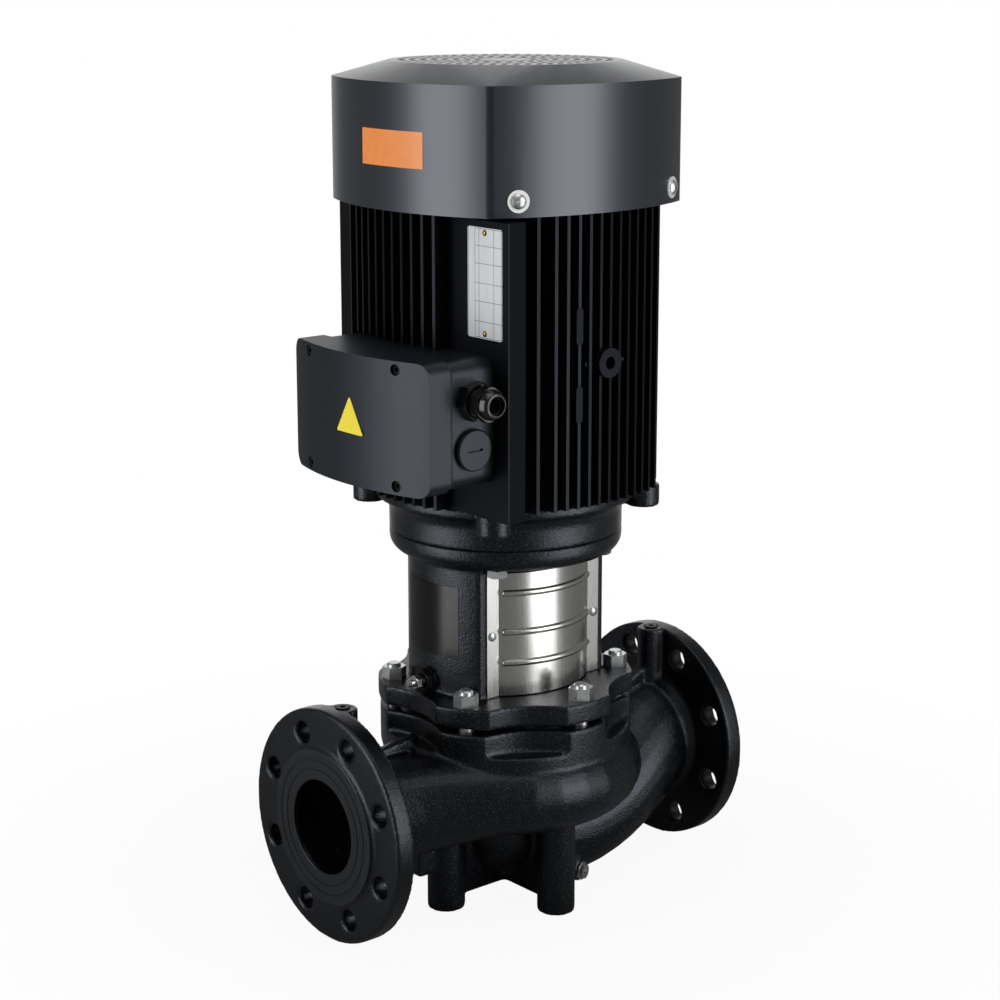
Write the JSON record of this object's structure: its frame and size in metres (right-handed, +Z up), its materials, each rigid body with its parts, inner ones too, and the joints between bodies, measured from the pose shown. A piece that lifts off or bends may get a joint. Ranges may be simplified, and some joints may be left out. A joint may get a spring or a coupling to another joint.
{
  "type": "in-line circulation pump",
  "caption": "Close-coupled in-line circulation pump: flanged volute casing, lantern with guards, finned flanged motor with terminal box and fan cover.",
  "frame": {"origin": "shaft axis at the height of the feet's lower faces", "axes": "+Z up the shaft towards the fan cover, +X along the pipe towards the suction flange, -Y towards the side with the cable gland"},
  "size_m": [0.4, 0.2644, 0.731],
  "materials": {
    "cast_iron_black": "black gloss paint over grainy cast iron",
    "black_paint": "satin black paint over cast aluminium",
    "cover_paint": "semi-gloss black powder coat on pressed steel",
    "black_plastic": "fine matte",
    "fan_plastic": "moulded matte",
    "stainless_sheet": "brushed lengthways",
    "zinc_steel": "bright zinc plate",
    "machined_steel": "turned and ground",
    "core_steel": "dull cast or stacked steel",
    "plate_aluminium": "satin, blank",
    "brass": "turned",
    "black_rubber": "matte",
    "copper_winding": "varnished copper wire",
    "board_resin": "moulded resin",
    "seal_ceramic": "lapped ceramic",
    "seal_carbon": "lapped carbon"
  },
  "bodies": {
    "pump_frame": {"volute_casing": "cast_iron_black", "wear_ring": "machined_steel", "gauge_plugs": "machined_steel", "drain_plug": "zinc_steel", "casing_studs": "zinc_steel", "stud_nuts": "zinc_steel", "casing_o_ring": "black_rubber", "pump_head": "cast_iron_black", "vent_body": "black_paint", "seal_seat": "seal_ceramic", "front_guard": "stainless_sheet", "rear_guard": "stainless_sheet", "guard_screws": "zinc_steel", "lantern_bolts": "zinc_steel", "drive_end_shield": "black_paint", "shield_screws": "zinc_steel", "lower_bearing_outer": "machined_steel", "stator_frame": "black_paint", "stator_core": "core_steel", "windings": "copper_winding", "rear_end_shield": "black_paint", "rear_shield_screws": "zinc_steel", "upper_bearing_outer": "machined_steel", "wave_spring": "machined_steel", "fan_cover": "cover_paint", "cover_screws": "zinc_steel", "cover_washers": "zinc_steel", "terminal_box": "black_plastic", "terminal_board": "board_resin", "terminal_studs": "brass", "lid_gasket": "black_rubber", "terminal_lid": "black_plastic", "lid_screws": "zinc_steel", "gland_body": "black_plastic", "gland_nut": "black_plastic", "gland_insert": "black_rubber", "blanking_plug": "black_plastic", "nameplate": "plate_aluminium", "nameplate_rivets": "brass"},
    "vent_screw_body": {"vent_screw": "zinc_steel"},
    "rotor": {"impeller": "core_steel", "impeller_nut": "zinc_steel", "pump_shaft": "machined_steel", "seal_ring": "seal_carbon", "seal_spring": "machined_steel", "coupling_front": "core_steel", "coupling_rear": "core_steel", "coupling_screws": "zinc_steel", "motor_shaft": "machined_steel", "rotor_core": "core_steel", "lower_bearing_inner": "machined_steel", "upper_bearing_inner": "machined_steel", "fan": "fan_plastic", "fan_clip": "machined_steel"},
    "lower_ball_cage": {"lower_balls": "machined_steel"},
    "upper_ball_cage": {"upper_balls": "machined_steel"}
  },
  "joints": [
    {"name": "rotor_spin", "type": "hinge", "parent": "pump_frame", "child": "rotor", "pos_m": [0, 0, 0.2], "axis": [0, 0, 1], "continuous": true},
    {"name": "lower_cage_spin", "type": "hinge", "parent": "pump_frame", "child": "lower_ball_cage", "pos_m": [0, 0, 0.3555], "axis": [0, 0, 1], "continuous": true},
    {"name": "upper_cage_spin", "type": "hinge", "parent": "pump_frame", "child": "upper_ball_cage", "pos_m": [0, 0, 0.633], "axis": [0, 0, 1], "continuous": true},
    {"name": "vent_screw_turn", "type": "hinge", "parent": "pump_frame", "child": "vent_screw_body", "pos_m": [-0.097, 0, 0.212], "axis": [-1, 0, 0], "range_deg": [0, 360]}
  ],
  "couplings": [
    {"joint": "lower_cage_spin", "follows": "rotor_spin", "ratio": 0.4067},
    {"joint": "upper_cage_spin", "follows": "rotor_spin", "ratio": 0.4065}
  ]
}
